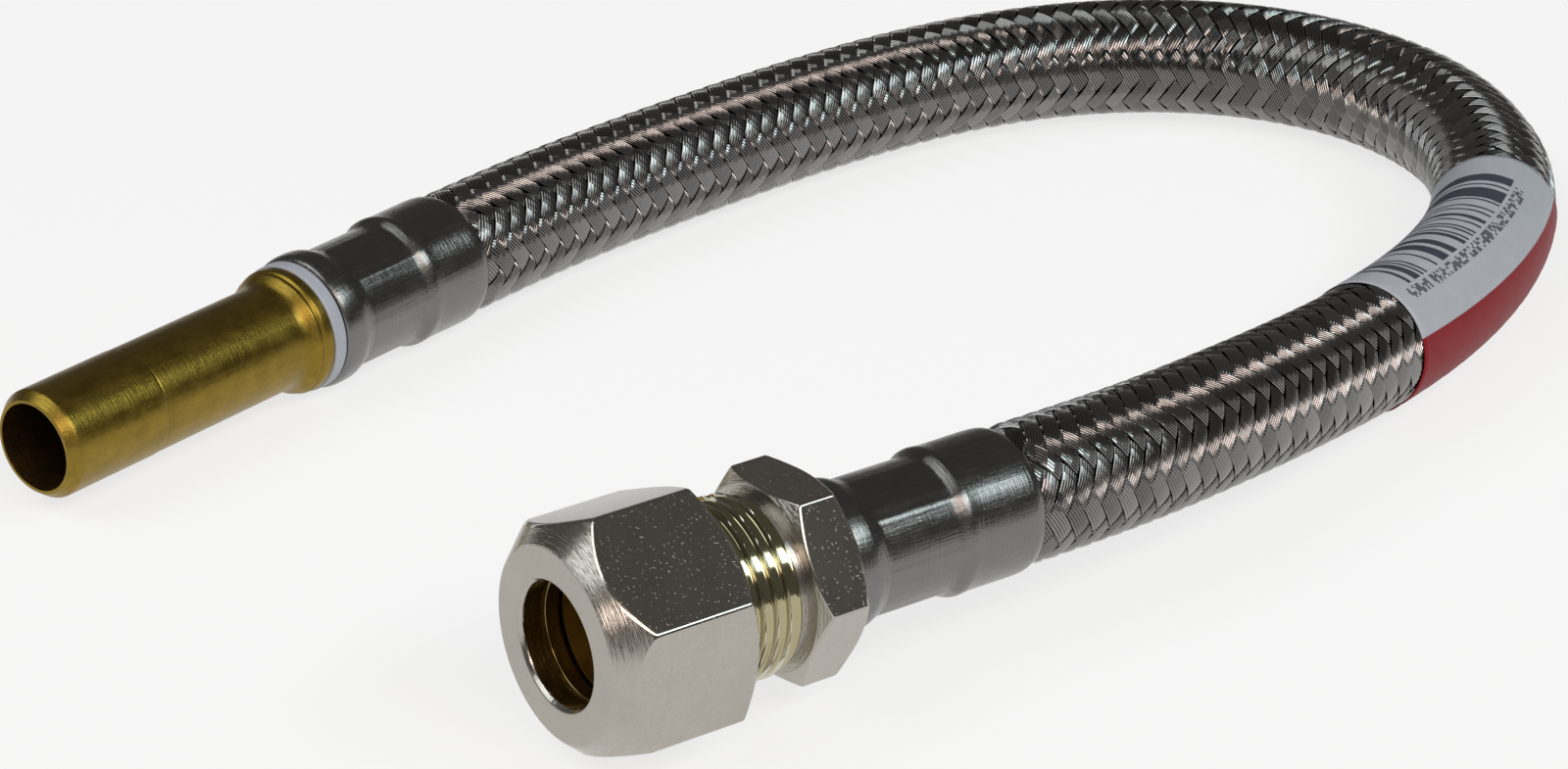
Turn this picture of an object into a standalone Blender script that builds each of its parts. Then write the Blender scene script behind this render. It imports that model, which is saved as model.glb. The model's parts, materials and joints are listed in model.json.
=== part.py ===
"""Braided flexible hose with a compression coupling at one end and a stub pipe at the other.

It lies on the plane z = 0 as it comes to rest: on a corner of the nut, on the lip of the far ferrule
and on the bend of the hose. The origin is under the middle of the metal fittings. Units are metres.
"""
import math

import bmesh
import bpy
import numpy as np
from mathutils import Vector

MM = 0.001

# Clearances
SEAT_GAP = 0.3 * MM
RUNNING_GAP = 0.3 * MM
PIPE_SLIP = 0.1 * MM
OLIVE_SEAT_GAP = 0.35 * MM
MOUTH_GAP = 0.25 * MM

# Where the fittings lie
COUPLING_FACE_X = -22.06 * MM
COUPLING_Y = -54.25 * MM
STUB_END_X = -41.66 * MM
STUB_END_Y = 39.05 * MM
STUB_TURN_DEG = 16.0
NUT_CORNER_DEG = 23.4
BODY_CORNER_DEG = 1.85

# Pipe that the coupling takes and the stub is drawn from
PIPE_RADIUS = 7.5 * MM
PIPE_WALL = 1.5 * MM

# Olive
OLIVE_NOSE = 0.25 * MM
OLIVE_WALL = 1.75 * MM
OLIVE_FRONT_CONE = 1.65 * MM
OLIVE_BAND = 3.55 * MM
OLIVE_REAR_CONE = 1.9 * MM

# Thread between the body and the nut
MOUTH_WALL = 0.85 * MM
THREAD_DEPTH = 1.0 * MM
THREAD_PITCH = 1.814 * MM
THREAD_LENGTH = 14.6 * MM
THREAD_CHAMFER = 1.0 * MM

# Compression nut
NUT_WALL = 2.25 * MM
NUT_LENGTH = 19.2 * MM
NUT_FACE_STEP = 1.8 * MM
NUT_FRONT_CHAMFER = 4.55 * MM
NUT_REAR_STEP = 0.3 * MM
NUT_REAR_CHAMFER = 1.6 * MM
NUT_BORE_EDGE = 0.5 * MM
NUT_LIP_LENGTH = 5.4 * MM
NUT_SHELF_LENGTH = 2.0 * MM
NUT_EXIT_CHAMFER = 0.6 * MM

# Coupling body
TIGHTENING_ROOM = 1.7 * MM
MOUTH_CONE = 3.0 * MM
SOCKET_LENGTH = 15.0 * MM
UNDERCUT_LENGTH = 1.2 * MM
BODY_FLAT_STAND = 0.55 * MM
BODY_HEX_LENGTH = 7.2 * MM
BODY_FACE_STEP = 0.25 * MM
BODY_CHAMFER = 1.1 * MM

# Hose
LINER_BORE_RADIUS = 6.0 * MM
LINER_WALL = 1.7 * MM
BRAID_SLACK = 0.6 * MM
BRAID_WALL = 0.65 * MM
LABEL_GAP = 0.3 * MM
LABEL_WALL = 0.35 * MM
LABEL_START = 76.0 * MM
LABEL_LENGTH = 54.5 * MM
ROUTE_STEP = 9.6 * MM
SQUARE_END = 1.0 * MM
TUBE_RESOLUTION = 4

# Hose tails inside the ferrules
NECK_STAND = 0.4 * MM
NECK_LENGTH = 1.7 * MM
TAIL_WALL = 0.65 * MM
BARB_DEPTH = 0.6 * MM
BARB_COUNT = 4
BARB_PITCH = 5.6 * MM

# Ferrules
FERRULE_LENGTH = 29.2 * MM
FERRULE_WALL = 0.75 * MM
LIP_STAND = 0.15 * MM
LIP_LENGTH = 5.2 * MM
WAIST_END = 16.0 * MM
SKIRT_STAND = 0.5 * MM
SKIRT_START = 19.2 * MM
SKIRT_END = 26.4 * MM
MOUTH_CLOSING = 0.7 * MM
CRIMP_JAWS = 8
CRIMP_RIDGE = 0.14 * MM

# Stub pipe
STUB_CHAMFER = 1.4 * MM
STUB_END_WALL = 0.45 * MM
STUB_MARK = 16.7 * MM
STUB_MARK_DEPTH = 0.08 * MM
STUB_SHOULDER = 42.3 * MM
STUB_SHOULDER_STAND = 1.4 * MM
STUB_SHOULDER_RISE = 2.7 * MM
STUB_LENGTH = 46.6 * MM
STUB_BORE_LENGTH = 42.6 * MM
SPACER_LENGTH = 1.7 * MM
SPACER_STAND = 0.2 * MM

# Middle line of the hose between the two ferrules, x, y and z in millimetres, from the coupling's side
ROUTE = [
    (64.3, -52.8, 15.35),
    (84.6, -48.5, 13.7),
    (104.6, -42.8, 11.7),
    (124.4, -36.4, 10.3),
    (143.5, -28.4, 9.8),
    (161.0, -17.2, 9.68),
    (175.0, -2.0, 9.65),
    (183.2, 17.1, 9.65),
    (182.7, 37.7, 9.65),
    (172.9, 55.8, 9.65),
    (156.2, 68.0, 9.65),
    (136.3, 73.6, 9.65),
    (115.5, 74.4, 9.65),
    (94.8, 72.7, 9.65),
    (74.2, 69.8, 9.65),
    (53.8, 65.9, 9.65),
]

# Fineness of the turned pieces
TURNED_SIDES = 36
FERRULE_SIDES = 48
RINGS_PER_PITCH = 6

# Radii that follow from the pipe, the olive and the thread
SOCKET_RADIUS = PIPE_RADIUS + PIPE_SLIP
NUT_BORE_RADIUS = SOCKET_RADIUS + PIPE_SLIP
OLIVE_RADIUS = SOCKET_RADIUS + OLIVE_WALL
NUT_SHELF_RADIUS = OLIVE_RADIUS + OLIVE_SEAT_GAP
MOUTH_RADIUS = OLIVE_RADIUS + MOUTH_GAP
THREAD_ROOT_RADIUS = MOUTH_RADIUS + MOUTH_WALL
THREAD_RADIUS = THREAD_ROOT_RADIUS + THREAD_DEPTH
NUT_THREAD_RADIUS = THREAD_RADIUS + RUNNING_GAP
NUT_ACROSS_FLATS = 2 * (NUT_THREAD_RADIUS + NUT_WALL)
BODY_ACROSS_FLATS = 2 * (THREAD_RADIUS + BODY_FLAT_STAND)
PIPE_BORE_RADIUS = PIPE_RADIUS - PIPE_WALL

# Radii that follow from the hose; a tube of few sides is thinner across its flats than at its edges
TUBE_SIDES = 2 * TUBE_RESOLUTION + 4
TUBE_FLAT_SHARE = math.cos(math.pi / TUBE_SIDES)
LINER_RADIUS = LINER_BORE_RADIUS + LINER_WALL
BRAID_RADIUS = LINER_RADIUS + BRAID_SLACK + BRAID_WALL
LABEL_RADIUS = BRAID_RADIUS + LABEL_GAP + LABEL_WALL
BARB_RADIUS = LINER_BORE_RADIUS * TUBE_FLAT_SHARE - SEAT_GAP
BARB_ROOT_RADIUS = BARB_RADIUS - BARB_DEPTH
WATERWAY_RADIUS = BARB_ROOT_RADIUS - TAIL_WALL
NECK_RADIUS = BARB_RADIUS + NECK_STAND
NECK_BORE_RADIUS = NECK_RADIUS + SEAT_GAP
WAIST_RADIUS = LINER_RADIUS + SEAT_GAP + FERRULE_WALL
SKIRT_RADIUS = BRAID_RADIUS + SKIRT_STAND
LIP_RADIUS = SKIRT_RADIUS + LIP_STAND
STUB_SHOULDER_RADIUS = PIPE_RADIUS + STUB_SHOULDER_STAND
SPACER_RADIUS = STUB_SHOULDER_RADIUS + SPACER_STAND

# Places along the coupling's axis, from the nut's front face; all the cones that take the olive's
# front are as steep as its own
CONE_RUN = OLIVE_FRONT_CONE / (OLIVE_WALL - OLIVE_NOSE)
NUT_SHELF_START = NUT_LIP_LENGTH + CONE_RUN * (NUT_SHELF_RADIUS - NUT_BORE_RADIUS)
NUT_SHELF_END = NUT_SHELF_START + NUT_SHELF_LENGTH
OLIVE_NOSE_ON_CONE = NUT_LIP_LENGTH + CONE_RUN * (SOCKET_RADIUS + OLIVE_NOSE - NUT_BORE_RADIUS)
OLIVE_START = OLIVE_NOSE_ON_CONE + OLIVE_SEAT_GAP * math.hypot(CONE_RUN, 1.0)
OLIVE_BAND_START = OLIVE_START + OLIVE_FRONT_CONE
OLIVE_BAND_END = OLIVE_BAND_START + OLIVE_BAND
OLIVE_END = OLIVE_BAND_END + OLIVE_REAR_CONE
MOUTH_X = OLIVE_BAND_END + TIGHTENING_ROOM
SOCKET_END_X = MOUTH_X + SOCKET_LENGTH
THREAD_END_X = MOUTH_X + THREAD_LENGTH
BODY_HEX_START = THREAD_END_X + UNDERCUT_LENGTH
BODY_HEX_END = BODY_HEX_START + BODY_HEX_LENGTH
NEAR_FERRULE_START = BODY_HEX_END + SEAT_GAP
NEAR_MOUTH = NEAR_FERRULE_START + FERRULE_LENGTH

# Places along the stub's axis, from its open end
SPACER_START = STUB_LENGTH + SEAT_GAP
SPACER_END = SPACER_START + SPACER_LENGTH
FAR_FERRULE_START = SPACER_END + SEAT_GAP
FAR_MOUTH = FAR_FERRULE_START + FERRULE_LENGTH


def clear_scene():
    for item in list(bpy.data.objects):
        bpy.data.objects.remove(item, do_unlink=True)


def material(name, color, roughness, metallic):
    made = bpy.data.materials.new(name)
    made.use_nodes = True
    made.diffuse_color = (*color, 1.0)
    shader = made.node_tree.nodes["Principled BSDF"]
    shader.inputs["Base Color"].default_value = (*color, 1.0)
    shader.inputs["Roughness"].default_value = roughness
    shader.inputs["Metallic"].default_value = metallic
    return made


def circle(x, radius):
    """A ring of a turned piece: the same place and radius all round."""
    return lambda angle: (x, radius)


def hexagon_radius(across_flats, angle):
    """Distance from the axis to the hexagon's side; angle 0 is a corner."""
    turned = (angle + math.pi / 6) % (math.pi / 3) - math.pi / 6
    return across_flats / 2 / math.cos(math.pi / 6 - abs(turned))


def chamfered_hexagon(face_x, face_radius, chamfer, across_flats, inward):
    """The curve where a chamfer cone, round at the face, cuts the hexagon's sides."""
    corner = hexagon_radius(across_flats, 0.0)
    slope = chamfer / (corner - face_radius)

    def ring(angle):
        radius = hexagon_radius(across_flats, angle)
        return face_x + inward * slope * (radius - face_radius), radius

    return ring


def turned_piece(name, rings, sides, turn_deg, carrier, finish):
    """A closed wall whose section is the loop of rings, round the carrier's X axis."""
    mesh = bmesh.new()
    loops = []
    for ring in rings:
        loop = []
        for index in range(sides):
            angle = 2 * math.pi * index / sides
            x, radius = ring(angle)
            placed = angle + math.radians(turn_deg)
            loop.append(mesh.verts.new((x, -radius * math.cos(placed), radius * math.sin(placed))))
        loops.append(loop)
    for first, second in zip(loops, loops[1:] + loops[:1]):
        for index in range(sides):
            after = (index + 1) % sides
            mesh.faces.new((first[index], first[after], second[after], second[index]))
    bmesh.ops.recalc_face_normals(mesh, faces=mesh.faces)
    bmesh.ops.triangulate(mesh, faces=mesh.faces)
    data = bpy.data.meshes.new(name)
    mesh.to_mesh(data)
    mesh.free()
    data.shade_smooth()
    data.set_sharp_from_angle(angle=math.radians(25))
    piece = bpy.data.objects.new(name, data)
    bpy.context.collection.objects.link(piece)
    piece.parent = carrier
    data.materials.append(finish)
    return piece


def axis_empty(name, place, turn_deg):
    carrier = bpy.data.objects.new(name, None)
    bpy.context.collection.objects.link(carrier)
    carrier.location = place
    carrier.rotation_euler = (0.0, 0.0, math.radians(turn_deg))
    return carrier


def nut_rings():
    face_radius = NUT_ACROSS_FLATS / 2 - NUT_FACE_STEP
    rear_radius = NUT_ACROSS_FLATS / 2 - NUT_REAR_STEP
    step_out = (NUT_THREAD_RADIUS - NUT_SHELF_RADIUS) / 5
    return [
        circle(NUT_BORE_EDGE, NUT_BORE_RADIUS),
        circle(0.0, NUT_BORE_RADIUS + NUT_BORE_EDGE),
        circle(0.0, face_radius),
        chamfered_hexagon(0.0, face_radius, NUT_FRONT_CHAMFER, NUT_ACROSS_FLATS, 1),
        chamfered_hexagon(NUT_LENGTH, rear_radius, NUT_REAR_CHAMFER, NUT_ACROSS_FLATS, -1),
        circle(NUT_LENGTH, rear_radius),
        circle(NUT_LENGTH, NUT_THREAD_RADIUS + NUT_EXIT_CHAMFER),
        circle(NUT_LENGTH - NUT_EXIT_CHAMFER, NUT_THREAD_RADIUS),
        circle(NUT_SHELF_END + step_out, NUT_THREAD_RADIUS),
        circle(NUT_SHELF_END, NUT_SHELF_RADIUS),
        circle(NUT_SHELF_START, NUT_SHELF_RADIUS),
        circle(NUT_LIP_LENGTH, NUT_BORE_RADIUS),
    ]


def olive_rings():
    return [
        circle(OLIVE_START, SOCKET_RADIUS),
        circle(OLIVE_START, SOCKET_RADIUS + OLIVE_NOSE),
        circle(OLIVE_BAND_START, OLIVE_RADIUS),
        circle(OLIVE_BAND_END, OLIVE_RADIUS),
        circle(OLIVE_END, SOCKET_RADIUS + OLIVE_NOSE),
        circle(OLIVE_END, SOCKET_RADIUS),
    ]


def thread_ring(x, depth_share):
    """A slice across the thread: its radius rises and falls once round, shifted along the helix."""
    middle = THREAD_RADIUS - THREAD_DEPTH / 2

    def ring(angle):
        wave = math.cos(2 * math.pi * x / THREAD_PITCH - angle)
        return x, middle + depth_share * wave * THREAD_DEPTH / 2

    return ring


def thread_rings():
    rings = []
    step = THREAD_PITCH / RINGS_PER_PITCH
    start = MOUTH_X + THREAD_CHAMFER
    count = int((THREAD_LENGTH - THREAD_CHAMFER) / step)
    for index in range(count):
        run_in = 0.4 + index / RINGS_PER_PITCH
        run_out = (count - index) / RINGS_PER_PITCH
        rings.append(thread_ring(start + index * step, min(1.0, run_in, run_out)))
    return rings


def tail_rings(start, neck_length):
    """The neck that the ferrule is hooked on and the barbs that hold the liner, from a shoulder out."""
    barbs_start = start + neck_length
    rings = [
        circle(start, NECK_RADIUS),
        circle(barbs_start, NECK_RADIUS),
        circle(barbs_start, BARB_ROOT_RADIUS),
    ]
    for index in range(BARB_COUNT):
        barb = barbs_start + (index + 0.25) * BARB_PITCH
        rings.append(circle(barb, BARB_ROOT_RADIUS))
        rings.append(circle(barb + 0.1 * BARB_PITCH, BARB_RADIUS))
        rings.append(circle(barb + 0.7 * BARB_PITCH, BARB_ROOT_RADIUS))
    end = barbs_start + BARB_COUNT * BARB_PITCH
    rings.append(circle(end, BARB_ROOT_RADIUS))
    rings.append(circle(end, WATERWAY_RADIUS))
    return rings


def body_rings():
    face_radius = BODY_ACROSS_FLATS / 2 - BODY_FACE_STEP
    rings = [
        circle(MOUTH_X + MOUTH_CONE, SOCKET_RADIUS),
        circle(MOUTH_X, MOUTH_RADIUS),
        circle(MOUTH_X, THREAD_ROOT_RADIUS),
    ]
    rings += thread_rings()
    rings += [
        circle(THREAD_END_X, THREAD_ROOT_RADIUS),
        circle(BODY_HEX_START, THREAD_ROOT_RADIUS),
        circle(BODY_HEX_START, face_radius),
        chamfered_hexagon(BODY_HEX_START, face_radius, BODY_CHAMFER, BODY_ACROSS_FLATS, 1),
        chamfered_hexagon(BODY_HEX_END, face_radius, BODY_CHAMFER, BODY_ACROSS_FLATS, -1),
        circle(BODY_HEX_END, face_radius),
    ]
    rings += tail_rings(BODY_HEX_END, SEAT_GAP + NECK_LENGTH)
    rings += [
        circle(SOCKET_END_X, WATERWAY_RADIUS),
        circle(SOCKET_END_X, SOCKET_RADIUS),
    ]
    return rings


def crimped(x, radius, share=1.0):
    """A ring of the ferrule's crimped wall, with one ridge left between two jaws of the press."""

    def ring(angle):
        phase = (angle * CRIMP_JAWS / (2 * math.pi)) % 1.0
        on_ridge = phase < 0.01 or phase > 0.99
        return x, radius + (share * CRIMP_RIDGE if on_ridge else 0.0)

    return ring


def ferrule_rings(start):
    lip_bore = LIP_RADIUS - FERRULE_WALL
    waist_start = LIP_LENGTH + 2 * (LIP_RADIUS - WAIST_RADIUS)
    waist_bore = WAIST_RADIUS - FERRULE_WALL
    skirt_bore = SKIRT_RADIUS - FERRULE_WALL
    mouth_radius = SKIRT_RADIUS - MOUTH_CLOSING
    roll = FERRULE_WALL / 2
    return [
        circle(start, NECK_BORE_RADIUS),
        circle(start, LIP_RADIUS - 2.2 * roll),
        circle(start + 0.7 * roll, LIP_RADIUS - 0.6 * roll),
        circle(start + 2.2 * roll, LIP_RADIUS),
        circle(start + LIP_LENGTH - 2 * roll, LIP_RADIUS),
        circle(start + LIP_LENGTH, LIP_RADIUS - 0.8 * roll),
        crimped(start + waist_start, WAIST_RADIUS, 0.4),
        crimped(start + waist_start + roll, WAIST_RADIUS),
        crimped(start + WAIST_END, WAIST_RADIUS),
        crimped(start + SKIRT_START - 2 * roll, SKIRT_RADIUS - roll / 2, 0.4),
        crimped(start + SKIRT_START, SKIRT_RADIUS),
        crimped(start + SKIRT_END, SKIRT_RADIUS),
        circle(start + (SKIRT_END + FERRULE_LENGTH) / 2, SKIRT_RADIUS - roll / 2),
        circle(start + FERRULE_LENGTH, mouth_radius),
        circle(start + FERRULE_LENGTH, mouth_radius - roll),
        circle(start + SKIRT_END, skirt_bore),
        circle(start + SKIRT_START, skirt_bore),
        circle(start + WAIST_END, waist_bore),
        circle(start + waist_start, waist_bore),
        circle(start + LIP_LENGTH - 2 * roll, lip_bore),
        circle(start + FERRULE_WALL, lip_bore),
        circle(start + FERRULE_WALL, NECK_BORE_RADIUS),
    ]


def stub_rings():
    drawn_radius = PIPE_RADIUS - STUB_MARK_DEPTH
    rings = [
        circle(0.0, PIPE_BORE_RADIUS),
        circle(0.0, PIPE_BORE_RADIUS + STUB_END_WALL),
        circle(STUB_CHAMFER, PIPE_RADIUS),
        circle(STUB_MARK, PIPE_RADIUS),
        circle(STUB_MARK + STUB_MARK_DEPTH, drawn_radius),
        circle(STUB_SHOULDER, drawn_radius),
    ]
    rise = STUB_SHOULDER_RADIUS - drawn_radius
    for step in range(1, 5):
        swell = rise * math.sin(step / 4 * math.pi / 2)
        along = STUB_SHOULDER_RISE * (step / 4) ** 1.3
        rings.append(circle(STUB_SHOULDER + along, drawn_radius + swell))
    rings.append(circle(STUB_LENGTH, STUB_SHOULDER_RADIUS))
    rings += tail_rings(STUB_LENGTH, FAR_FERRULE_START - STUB_LENGTH + NECK_LENGTH)
    rings += [
        circle(STUB_BORE_LENGTH, WATERWAY_RADIUS),
        circle(STUB_BORE_LENGTH, PIPE_BORE_RADIUS),
    ]
    return rings


def spacer_rings():
    edge = SPACER_LENGTH / 5
    return [
        circle(SPACER_START, NECK_BORE_RADIUS),
        circle(SPACER_START, SPACER_RADIUS - edge),
        circle(SPACER_START + edge, SPACER_RADIUS),
        circle(SPACER_END - edge, SPACER_RADIUS),
        circle(SPACER_END, SPACER_RADIUS - edge),
        circle(SPACER_END, NECK_BORE_RADIUS),
    ]


def smooth_line(points, start_direction, end_direction):
    """A cubic spline through the points that leaves and arrives along the given directions."""
    points = np.array(points)
    chord = np.linalg.norm(np.diff(points, axis=0), axis=1)
    knots = np.concatenate([[0.0], np.cumsum(chord)])
    count = len(points)
    system = np.zeros((count, count))
    wanted = np.zeros((count, 3))
    system[0, 0] = 1.0
    system[-1, -1] = 1.0
    wanted[0] = start_direction
    wanted[-1] = end_direction
    for index in range(1, count - 1):
        before = chord[index - 1]
        after = chord[index]
        system[index, index - 1:index + 2] = (1 / before, 2 / before + 2 / after, 1 / after)
        rise_before = (points[index] - points[index - 1]) / before ** 2
        rise_after = (points[index + 1] - points[index]) / after ** 2
        wanted[index] = 3 * (rise_before + rise_after)
    slopes = np.linalg.solve(system, wanted)

    def at(distance):
        index = min(int(np.searchsorted(knots, distance, side="right")) - 1, count - 2)
        span = chord[index]
        share = (distance - knots[index]) / span
        one = (1 + 2 * share) * (1 - share) ** 2 * points[index]
        two = share * (1 - share) ** 2 * span * slopes[index]
        three = share ** 2 * (3 - 2 * share) * points[index + 1]
        four = share ** 2 * (share - 1) * span * slopes[index + 1]
        return one + two + three + four

    return at, knots[-1]


def even_points(at, start, end, step):
    count = max(2, round((end - start) / step) + 1)
    return [at(distance) for distance in np.linspace(start, end, count)]


def hose_tube(name, points, radius, wall, finish):
    """A hollow tube along the points; radius is its outer one."""
    curve = bpy.data.curves.new(name, "CURVE")
    curve.dimensions = "3D"
    curve.twist_mode = "Z_UP"
    curve.bevel_depth = radius
    curve.bevel_resolution = TUBE_RESOLUTION
    curve.use_fill_caps = False
    spline = curve.splines.new("POLY")
    spline.points.add(len(points) - 1)
    for target, point in zip(spline.points, points):
        target.co = (*point, 1.0)
    curve.materials.append(finish)
    tube = bpy.data.objects.new(name, curve)
    bpy.context.collection.objects.link(tube)
    solid = tube.modifiers.new("wall", "SOLIDIFY")
    solid.thickness = wall
    solid.offset = -1.0
    return tube


def nut_axis_height():
    """Height of the coupling's axis: the nut's lowest corner, a few degrees off straight down, is at 0."""
    from_bottom = (270.0 - NUT_CORNER_DEG + 30.0) % 60.0 - 30.0
    return hexagon_radius(NUT_ACROSS_FLATS, 0.0) * math.cos(math.radians(from_bottom))


def point_on(carrier, distance):
    """A point on the carrier's X axis, in the part's frame."""
    return np.array(carrier.matrix_world @ Vector((distance, 0.0, 0.0)))


def build_coupling(carrier, nickel, brass, steel):
    turned_piece("compression_nut", nut_rings(), TURNED_SIDES, NUT_CORNER_DEG, carrier, nickel)
    turned_piece("compression_olive", olive_rings(), TURNED_SIDES, 0.0, carrier, brass)
    turned_piece("coupling_body", body_rings(), TURNED_SIDES, BODY_CORNER_DEG, carrier, nickel)
    rings = ferrule_rings(NEAR_FERRULE_START)
    turned_piece("near_ferrule", rings, FERRULE_SIDES, 0.0, carrier, steel)


def build_stub(carrier, brass, plastic, steel):
    turned_piece("stub_pipe", stub_rings(), TURNED_SIDES, 0.0, carrier, brass)
    turned_piece("spacer_ring", spacer_rings(), TURNED_SIDES, 0.0, carrier, plastic)
    rings = ferrule_rings(FAR_FERRULE_START)
    turned_piece("far_ferrule", rings, FERRULE_SIDES, 0.0, carrier, steel)


def build_hose(coupling, stub, wire, rubber, film):
    near_end = point_on(coupling, NEAR_MOUTH)
    far_end = point_on(stub, FAR_MOUTH)
    into_hose = np.array(coupling.matrix_world.col[0][:3])
    out_of_hose = -np.array(stub.matrix_world.col[0][:3])
    chosen = [np.array(point) * MM for point in ROUTE]
    at, length = smooth_line([near_end] + chosen + [far_end], into_hose, out_of_hose)

    lead = SEAT_GAP + SQUARE_END
    braid_line = [at(SEAT_GAP)] + even_points(at, lead, length - lead, ROUTE_STEP)
    braid_line.append(at(length - SEAT_GAP))
    hose_tube("steel_braid", braid_line, BRAID_RADIUS, BRAID_WALL, wire)

    inset = FERRULE_LENGTH - NECK_LENGTH - SEAT_GAP
    near_inner = [point_on(coupling, NEAR_MOUTH - inset * share) for share in (1.0, 0.67, 0.33)]
    far_inner = [point_on(stub, FAR_MOUTH - inset * share) for share in (0.33, 0.67, 1.0)]
    free_line = even_points(at, 0.0, length, ROUTE_STEP)
    hose_tube("rubber_liner", near_inner + free_line + far_inner, LINER_RADIUS, LINER_WALL, rubber)

    label_line = even_points(at, LABEL_START, LABEL_START + LABEL_LENGTH, ROUTE_STEP)
    hose_tube("label", label_line, LABEL_RADIUS, LABEL_WALL, film)


def build():
    clear_scene()
    nickel = material("nickel_plate", (0.45, 0.43, 0.40), 0.25, 1.0)
    brass = material("turned_brass", (0.62, 0.48, 0.22), 0.3, 1.0)
    dull_brass = material("stub_brass", (0.42, 0.34, 0.14), 0.35, 1.0)
    steel = material("ferrule_steel", (0.40, 0.40, 0.40), 0.2, 1.0)
    wire = material("braid_wire", (0.55, 0.53, 0.51), 0.35, 1.0)
    rubber = material("liner_rubber", (0.03, 0.03, 0.03), 0.7, 0.0)
    film = material("label_film", (0.55, 0.57, 0.60), 0.4, 0.0)
    plastic = material("white_plastic", (0.78, 0.78, 0.76), 0.45, 0.0)

    coupling_place = (COUPLING_FACE_X, COUPLING_Y, nut_axis_height())
    coupling = axis_empty("coupling_axis", coupling_place, 0.0)
    stub = axis_empty("stub_axis", (STUB_END_X, STUB_END_Y, LIP_RADIUS), STUB_TURN_DEG)
    bpy.context.view_layer.update()

    build_coupling(coupling, nickel, brass, steel)
    build_stub(stub, dull_brass, plastic, steel)
    build_hose(coupling, stub, wire, rubber, film)


build()
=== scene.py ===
"""Looks of a braided flexible hose with a compression coupling and a stub pipe, made round its frame.

Lengths are in metres, and places on the fittings and the hose are in millimetres where MM multiplies them.
"""
import json
import math

import bmesh
import bpy
import numpy as np
from bpy.props import FloatProperty, FloatVectorProperty, IntProperty, PointerProperty
from bpy.types import Operator, Panel, PropertyGroup
from mathutils import Matrix, Vector


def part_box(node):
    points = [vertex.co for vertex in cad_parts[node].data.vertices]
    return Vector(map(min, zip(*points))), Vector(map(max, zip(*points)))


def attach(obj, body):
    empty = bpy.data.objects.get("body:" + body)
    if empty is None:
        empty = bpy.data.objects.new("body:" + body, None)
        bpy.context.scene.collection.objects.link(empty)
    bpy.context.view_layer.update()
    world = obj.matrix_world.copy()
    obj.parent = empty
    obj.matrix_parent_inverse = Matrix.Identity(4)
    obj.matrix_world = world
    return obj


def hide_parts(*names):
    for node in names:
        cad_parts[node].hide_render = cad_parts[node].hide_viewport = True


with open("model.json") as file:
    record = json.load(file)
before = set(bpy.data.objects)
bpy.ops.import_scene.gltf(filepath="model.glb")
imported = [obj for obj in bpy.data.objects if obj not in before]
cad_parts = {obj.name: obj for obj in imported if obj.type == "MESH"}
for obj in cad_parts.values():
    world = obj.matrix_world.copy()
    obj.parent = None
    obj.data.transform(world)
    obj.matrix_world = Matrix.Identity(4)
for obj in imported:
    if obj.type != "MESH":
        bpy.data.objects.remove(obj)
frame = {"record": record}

bl_info = {
    "name": "Braided Hose Looks",
    "version": (1, 0, 0),
    "blender": (4, 5, 0),
    "location": "3D View > Sidebar > Hose",
    "description": "Makes the braid, label, fittings and stage of a flexible hose",
    "category": "Object",
}

MM = 0.001
UP = Vector((0.0, 0.0, 1.0))

# Camera, in metres and degrees
CAMERA_PLACE = Vector((-0.26393, -0.43789, 0.26503))
CAMERA_VIEW = Vector((0.5251, 0.7346, -0.4298))
CAMERA_ROLL_DEG = -0.13
CAMERA_LENS = 102.9
SENSOR_WIDTH = 36.0
NEAREST_SEEN = 0.01

# Lamps: azimuth from +Y toward +X, elevation, width and height in metres, power and colour
LAMP_TARGET = Vector((0.07, 0.0, 0.01))
LAMP_DISTANCE = 1.7
LAMPS = (
    ("warm lamp", 194.0, 41.0, (1.0, 0.56), 8.6, (1.0, 0.84, 0.77)),
    ("low warm lamp", 229.0, 33.0, (0.5, 0.4), 3.2, (1.0, 0.86, 0.79)),
    ("left lamp", 286.0, 50.0, (1.2, 1.0), 9.5, (0.92, 0.98, 1.0)),
    ("cool lamp", 153.0, 43.0, (1.1, 0.45), 9.0, (0.80, 0.97, 1.0)),
)
SKY_COLOR = (1.0, 0.96, 0.91, 1.0)
FLOOR_REACH = 4.0

# Middle line of the hose between the two ferrules, x, y and z in millimetres, from the coupling's side
ROUTE = [
    (64.3, -52.8, 15.35),
    (84.6, -48.5, 13.7),
    (104.6, -42.8, 11.7),
    (124.4, -36.4, 10.3),
    (143.5, -28.4, 9.8),
    (161.0, -17.2, 9.68),
    (175.0, -2.0, 9.65),
    (183.2, 17.1, 9.65),
    (182.7, 37.7, 9.65),
    (172.9, 55.8, 9.65),
    (156.2, 68.0, 9.65),
    (136.3, 73.6, 9.65),
    (115.5, 74.4, 9.65),
    (94.8, 72.7, 9.65),
    (74.2, 69.8, 9.65),
    (53.8, 65.9, 9.65),
]
LINE_STEP = 1.0 * MM
UNDER_FERRULE = 3.0 * MM
CORE_RADIUS = 8.0 * MM

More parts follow.
